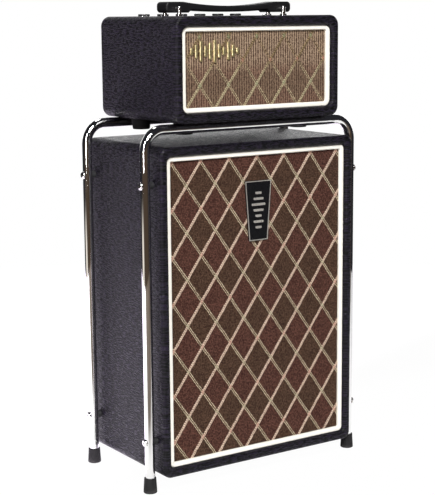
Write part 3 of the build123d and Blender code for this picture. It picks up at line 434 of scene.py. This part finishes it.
nickel = Finish("badge_nickel", (0.80, 0.77, 0.72), 0.25, Metallic=0.7)
tarnish = nickel.place.noise(500.0, 3.0)
nickel.set("Base Color", tarnish.mix((0.84, 0.81, 0.76), (0.62, 0.58, 0.52)))
nickel.set("Roughness", tarnish * 0.2 + 0.2)
nickel.bump(tarnish, 0.00002)
paint(nickel, "cabinet_badge_emblem")

gold = Finish("badge_gold", (0.60, 0.50, 0.26), 0.3, Metallic=0.85)
patina = gold.place.noise(260.0, 4.0)
gold.set("Base Color", patina.step(0.35, 0.7).mix((0.68, 0.58, 0.33), (0.36, 0.28, 0.12)))
gold.set("Roughness", patina * 0.25 + 0.22)
gold.bump(gold.place.noise(900.0, 2.0), 0.00004)
paint(gold, "head_badge")

# ---------------------------------------------------------------- rear panels and sockets
# The cabinet's rear board and the head's steel rear panel are sprayed black with a fine orange-peel
# texture, and are held by zinc-plated screws. The sockets are moulded in black plastic.
panel_paint = Finish("panel_paint", (0.018, 0.018, 0.019), 0.5)
orange_peel = panel_paint.place.noise(1100.0, 3.0)
rub = panel_paint.place.noise(20.0, 5.0).step(0.55, 0.8)
panel_paint.set("Base Color", rub.mix((0.016, 0.016, 0.017), (0.034, 0.033, 0.034)))
panel_paint.set("Roughness", 0.55 - rub * 0.15 + orange_peel * 0.1)
panel_paint.bump(orange_peel, 0.00012)
paint(panel_paint, "cabinet_back_panel", "head_rear_panel", "cabinet_jack_plate")

zinc = Finish("zinc_screws", (0.5, 0.5, 0.5), 0.35, Metallic=1.0)
zinc_bloom = zinc.place.noise(600.0, 3.0)
zinc.set("Base Color", zinc_bloom.mix((0.56, 0.56, 0.57), (0.38, 0.38, 0.40)))
zinc.set("Roughness", zinc_bloom * 0.3 + 0.25)
zinc.bump(zinc_bloom, 0.00002)
paint(zinc, "cabinet_back_screws", "head_rear_screws", "head_foot_screws", "control_panel_screws",
      "speaker_bolts")

socket_black = Finish("socket_black", (0.022, 0.022, 0.023), 0.4)
socket_grain = socket_black.place.noise(1300.0, 2.0)
socket_black.set("Base Color", socket_grain.mix((0.016, 0.016, 0.017), (0.034, 0.034, 0.035)))
socket_black.set("Roughness", socket_grain * 0.25 + 0.25)
socket_black.bump(socket_grain, 0.00003)
paint(socket_black, "cabinet_jack", "speaker_out_jack", "phones_jack", "dc_inlet", "input_jack")

# ---------------------------------------------------------------- speaker
# A 10 inch speaker with a pressed steel basket and a ferrite magnet, bolted behind the baffle on a board
# gasket. Its cone and dust cap are pressed pulp; the surround and the spider are doped cloth.
SPEAKER_Z = 0.2325


def round_speaker(finish):
    """Distance from the speaker's axis."""
    x = finish.place.part("X")
    z = finish.place.part("Z") - SPEAKER_Z
    return (x * x + z * z).math("SQRT")


basket_paint = Finish("basket_paint", (0.02, 0.02, 0.022), 0.4, Metallic=0.3)
basket_grain = basket_paint.place.noise(500.0, 3.0)
basket_paint.set("Base Color", basket_grain.mix((0.016, 0.016, 0.018), (0.035, 0.035, 0.038)))
basket_paint.set("Roughness", basket_grain * 0.25 + 0.3)
basket_paint.bump(basket_grain, 0.00005)
paint(basket_paint, "speaker_basket", "speaker_front_plate", "speaker_back_plate")

ferrite = Finish("ferrite", (0.07, 0.07, 0.072), 0.6)
chips = ferrite.place.noise(700.0, 4.0)
ferrite.set("Base Color", chips.mix((0.05, 0.05, 0.052), (0.10, 0.10, 0.105)))
ferrite.set("Roughness", chips * 0.2 + 0.5)
ferrite.bump(chips, 0.00008)
paint(ferrite, "speaker_magnet")

pulp = Finish("cone_pulp", (0.05, 0.047, 0.043), 0.85)
fibres = pulp.place.noise(900.0, 4.0)
pressed_rings = round_speaker(pulp).wave(0.011).step(0.6, 1.0)
pulp.set("Base Color", fibres.mix((0.035, 0.033, 0.03), (0.085, 0.08, 0.07)))
pulp.set("Roughness", fibres * 0.1 + 0.8)
pulp.bump(fibres * 0.3 + pressed_rings * 0.7, 0.0004)
paint(pulp, "speaker_cone", "speaker_dust_cap", "speaker_gasket")

doped = Finish("doped_cloth", (0.05, 0.035, 0.02), 0.55)
threads = doped.place.part("X").wave(0.0009) * 0.5 + doped.place.part("Z").wave(0.0009) * 0.5
doped.set("Base Color", threads.mix((0.035, 0.024, 0.014), (0.09, 0.06, 0.035)))
doped.set("Roughness", threads * 0.2 + 0.45)
doped.bump(threads, 0.0002)
paint(doped, "speaker_surround", "speaker_spider")

winding = Finish("coil_winding", (0.6, 0.3, 0.15), 0.35, Metallic=0.8)
turns = winding.place.part("Y").wave(0.0006)
winding.set("Base Color", turns.mix((0.45, 0.2, 0.1), (0.75, 0.4, 0.2)))
winding.bump(turns, 0.0002)
paint(winding, "speaker_voice_coil")

sheath = Finish("lead_sheath", (0.02, 0.02, 0.02), 0.6)
sheath_grain = sheath.place.noise(900.0, 2.0)
sheath.set("Base Color", sheath_grain.mix((0.014, 0.014, 0.014), (0.03, 0.03, 0.03)))
sheath.bump(sheath_grain, 0.00005)
paint(sheath, "speaker_lead")

# ---------------------------------------------------------------- controls
# A chromed steel panel lies in the recess of the head's top board. It carries six bright knobs with black
# caps, an input socket, a red lamp and a toggle switch. Dial marks are printed in black round each knob.
KNOB_FIRST_X = -0.096
KNOB_PITCH = 0.029
CONTROLS_Y = 0.033
MARK_INNER = 0.0098
MARK_OUTER = 0.0122
MARK_FADE = 0.0002

panel_chrome = Finish("panel_chrome", (0.8, 0.79, 0.78), 0.1, Metallic=1.0)
panel_x = panel_chrome.place.part("X")
panel_y = panel_chrome.place.part("Y") - CONTROLS_Y
knob_place = ((panel_x - KNOB_FIRST_X) / KNOB_PITCH).math("ROUND").math("MINIMUM", 5.0).math("MAXIMUM", 0.0)
from_knob = panel_x - KNOB_FIRST_X - knob_place * KNOB_PITCH
ring = (from_knob * from_knob + panel_y * panel_y).math("SQRT")
turn = from_knob.math("ARCTAN2", panel_y) * (10 / math.radians(300))
tick = 1 - (turn - turn.math("ROUND")).math("ABSOLUTE").step(0.07, 0.10)
in_band = ring.step(MARK_INNER, MARK_INNER + MARK_FADE) * (1 - ring.step(MARK_OUTER, MARK_OUTER + MARK_FADE))
in_sweep = 1 - turn.math("ABSOLUTE").step(5.1, 5.2)
marks = tick * in_band * in_sweep
brushed = panel_chrome.place.stretch(40.0, 2600.0, 1.0).noise(1.0, 2.0)
panel_chrome.set("Base Color", marks.mix((0.82, 0.81, 0.80), (0.01, 0.01, 0.01)))
panel_chrome.set("Roughness", brushed * 0.08 + 0.24 + marks * 0.3)
panel_chrome.set("Metallic", 1 - marks)
panel_chrome.bump(brushed, 0.000001, 0.3)
paint(panel_chrome, "control_panel")

KNOBS = ("gain", "treble", "bass", "tremolo", "reverb", "volume")
KNOB_TOP_BAND = 0.0022
knob_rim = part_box("gain_knob")[1][2] - KNOB_TOP_BAND
knob_black = Finish("knob_black", (0.012, 0.012, 0.013), 0.18)
capped = knob_black.place.part("Z").step(knob_rim - 0.0002, knob_rim)
wear = knob_black.place.noise(240.0, 4.0).step(0.5, 0.8)
black_cap = wear.mix((0.010, 0.010, 0.011), (0.022, 0.022, 0.023))
knob_black.set("Base Color", capped.mix((0.83, 0.82, 0.80), black_cap))
knob_black.set("Metallic", 1 - capped)
knob_black.set("Roughness", wear * 0.15 + 0.12)
knob_black.bump(knob_black.place.noise(700.0, 2.0), 0.00002)
paint(knob_black, *[f"{name}_knob" for name in KNOBS])

pointer_paint = Finish("pointer_paint", (0.85, 0.84, 0.8), 0.5)
pointer_grain = pointer_paint.place.noise(900.0, 2.0)
pointer_paint.set("Base Color", pointer_grain.mix((0.88, 0.87, 0.83), (0.74, 0.73, 0.69)))
pointer_paint.bump(pointer_grain, 0.00002)
POINTER_OUTLINE = (
    (-0.00045, 0.0019), (0.00045, 0.0019), (0.00045, 0.0066), (0.0, 0.0069), (-0.00045, 0.0066),
)
POINTER_BOTTOM = 0.00058     # below the knob's top
POINTER_TOP = 0.00012
for name in KNOBS:
    low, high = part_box(f"{name}_knob")
    centre_x = (low[0] + high[0]) / 2
    centre_y = (low[1] + high[1]) / 2
    mesh = bpy.data.meshes.new(f"{name}_pointer")
    shape = bmesh.new()
    lower = []
    upper = []
    for dx, dy in POINTER_OUTLINE:
        lower.append(shape.verts.new((centre_x + dx, centre_y + dy, high[2] - POINTER_BOTTOM)))
        upper.append(shape.verts.new((centre_x + dx, centre_y + dy, high[2] - POINTER_TOP)))
    shape.faces.new(upper)
    shape.faces.new(lower[::-1])
    for place in range(len(POINTER_OUTLINE)):
        follow = (place + 1) % len(POINTER_OUTLINE)
        shape.faces.new((lower[place], lower[follow], upper[follow], upper[place]))
    shape.to_mesh(mesh)
    shape.free()
    pointer = bpy.data.objects.new(f"{name}_pointer", mesh)
    bpy.context.collection.objects.link(pointer)
    mesh.materials.append(pointer_paint.material)
    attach(pointer, f"{name}_control")

switch_nickel = Finish("switch_nickel", (0.72, 0.7, 0.66), 0.2, Metallic=1.0)
switch_haze = switch_nickel.place.noise(800.0, 3.0)
switch_nickel.set("Roughness", switch_haze * 0.2 + 0.1)
switch_nickel.bump(switch_haze, 0.00001)
paint(switch_nickel, "potentiometers", "toggle_body", "toggle_lever")

lamp_red = Finish("lamp_red", (0.6, 0.02, 0.012), 0.15, Coat_Weight=0.5)
lamp_cells = lamp_red.place.noise(900.0, 2.0)
lamp_red.set("Base Color", lamp_cells.mix((0.65, 0.025, 0.015), (0.42, 0.01, 0.008)))
lamp_red.bump(lamp_cells, 0.00005)
paint(lamp_red, "indicator_lamp")

# ---------------------------------------------------------------- electronics
# A lacquered green circuit board hangs on pillars under the panel, and a black anodised heat sink is
# screwed inside the rear panel.
laminate = Finish("laminate", (0.03, 0.16, 0.07), 0.35)
tracks = (laminate.place.stretch(300.0, 300.0, 0.0).noise(1.0, 1.0) * 6.0).math("FRACT").step(0.45, 0.55)
hanging = laminate.place.part("Z").step(0.5712, 0.5716)
lacquer = tracks.mix((0.02, 0.11, 0.05), (0.06, 0.24, 0.10))
laminate.set("Base Color", hanging.mix((0.02, 0.02, 0.022), lacquer))
laminate.set("Roughness", 0.3 + tracks * 0.1)
laminate.bump(tracks, 0.00003)
paint(laminate, "circuit_board")

anodised = Finish("anodised", (0.04, 0.04, 0.042), 0.4, Metallic=0.8)
drawn = anodised.place.stretch(1800.0, 1800.0, 30.0).noise(1.0, 2.0)
anodised.set("Base Color", drawn.mix((0.03, 0.03, 0.032), (0.07, 0.07, 0.074)))
anodised.set("Roughness", drawn * 0.2 + 0.3)
anodised.bump(drawn, 0.00002)
paint(anodised, "heat_sink")

# ---------------------------------------------------------------- handle
# A moulded black strap sags between two thick ends, and hangs on steel pins between chrome posts that are
# screwed through the head's top board.
strap = Finish("strap_rubber", (0.018, 0.018, 0.019), 0.45, Specular_IOR_Level=0.3)
strap_grain = strap.place.noise(900.0, 3.0)
strap.set("Base Color", strap_grain.mix((0.003, 0.003, 0.0033), (0.010, 0.0095, 0.0105)))
strap.set("Roughness", strap_grain * 0.2 + 0.35)
strap.bump(strap_grain, 0.00006)
paint(strap, "handle_strap")

# ---------------------------------------------------------------- floor and light
# White studio paper under a soft box from the front left, a tall strip further left and a weak one overhead.
# The room is dim and warm in front and bright behind. The paper carries painted shade in front and behind,
# seen in reflections only, which draws the chrome's bands, and a painted glow on its left, which lights the
# boxes' left sides. To the eye the paper is plain white.
PAPER_RADIUS = 1.5
PAPER_DROP = 0.0002
PAPER_WHITENESS = 0.985
TOWARDS_VIEWER = (-0.556, -0.831)
TO_THE_RIGHT = (0.831, -0.556)
paper = bpy.data.meshes.new("paper")
shape = bmesh.new()
bmesh.ops.create_circle(shape, cap_ends=True, segments=96, radius=PAPER_RADIUS)
shape.to_mesh(paper)
shape.free()
floor = bpy.data.objects.new("paper", paper)
floor.location = (0, 0, -PAPER_DROP)
bpy.context.collection.objects.link(floor)
floor_white = Finish("floor_white", (0.9, 0.9, 0.9), 0.9, Emission_Strength=1.6)


def along(place, heading):
    """How far a place lies in a level direction."""
    return place.part("X") * heading[0] + place.part("Y") * heading[1]


out_front = along(floor_white.place, TOWARDS_VIEWER)
out_right = along(floor_white.place, TO_THE_RIGHT)
# Painted shade on the paper in front of and behind the stand, seen in reflections only.
in_front = out_front.step(0.22, 0.50) * (out_right + out_front * 0.6).step(-0.1, 0.15)
behind = (0 - out_front - out_right.math("ABSOLUTE") * 0.6).step(0.15, 0.30)
painted_shade = in_front.math("MAXIMUM", behind)
# Painted glow: the paper to the left glows, though it is no lamp.
lit_side = (0 - out_right - out_front * 0.7).step(0.05, 0.15)
floor_white.set("Base Color", painted_shade.mix((0.93, 0.93, 0.93), (0.09, 0.065, 0.045)))
floor_white.set("Emission Color", lit_side.mix((0.0, 0.0, 0.0), (1.0, 0.88, 1.12)))
glow = floor_white.place.node("ShaderNodeEmission", (), {0: (1.0, 1.0, 1.0, 1.0), 1: 1.0})
seen = floor_white.place.node("ShaderNodeLightPath")
lit_paper = Value(floor_white.tree, floor_white.shader.outputs[0])
blend = seen.node("ShaderNodeMixShader", (), {0: seen * PAPER_WHITENESS, 1: lit_paper, 2: glow})
floor_white.tree.links.new(blend.socket, floor_white.tree.nodes["Material Output"].inputs["Surface"])
paper.materials.append(floor_white.material)


def soft_box(name, place, aim, width, height, power):
    light = bpy.data.lights.new(name, "AREA")
    light.shape = "RECTANGLE"
    light.size = width
    light.size_y = height
    light.energy = power
    lamp = bpy.data.objects.new(name, light)
    lamp.location = place
    towards = mathutils.Vector(aim) - mathutils.Vector(place)
    lamp.rotation_euler = towards.to_track_quat("-Z", "Y").to_euler()
    bpy.context.collection.objects.link(lamp)


soft_box("key", (-1.1, -2.1, 2.2), (0, 0, 0.3), 1.0, 1.0, 128.0)
soft_box("strip", (-2.2, -1.4, 0.95), (0, 0, 0.4), 0.12, 1.7, 24.0)
soft_box("overhead", (0.3, 0.7, 2.2), (0, 0, 0.3), 0.9, 0.7, 14.0)

world = bpy.data.worlds.new("room")
bpy.context.scene.world = world
world.use_nodes = True
tree = world.node_tree
background = tree.nodes["Background"]
direction = Value(tree, None).node("ShaderNodeTexCoord", (), (), 0)
height = direction.part("Z")
front = along(direction, TOWARDS_VIEWER)
right = along(direction, TO_THE_RIGHT)
backdrop = (0 - front).step(0.72, 0.88) * height.step(-0.08, 0.0) * (1 - height.step(0.22, 0.38))
cream = (0 - right).step(0.66, 0.80) * front.step(-0.15, 0.05) * (1 - height.step(-0.17, -0.13))
warm = front.step(0.2, 0.8) * (1 - height.step(-0.1, 0.15))
room = warm.mix((0.02, 0.02, 0.024), (0.075, 0.052, 0.036))
room = cream.mix(room, (0.95, 0.88, 0.78))
room = backdrop.mix(room, (2.6, 2.6, 2.6))
seen = Value(tree, None).node("ShaderNodeLightPath")
shown = seen.mix(room, (1.0, 1.0, 1.0))
tree.links.new(shown.socket, background.inputs["Color"])
background.inputs["Strength"].default_value = 1.0
bpy.context.scene.view_settings.view_transform = "Standard"
bpy.context.scene.view_settings.look = "None"
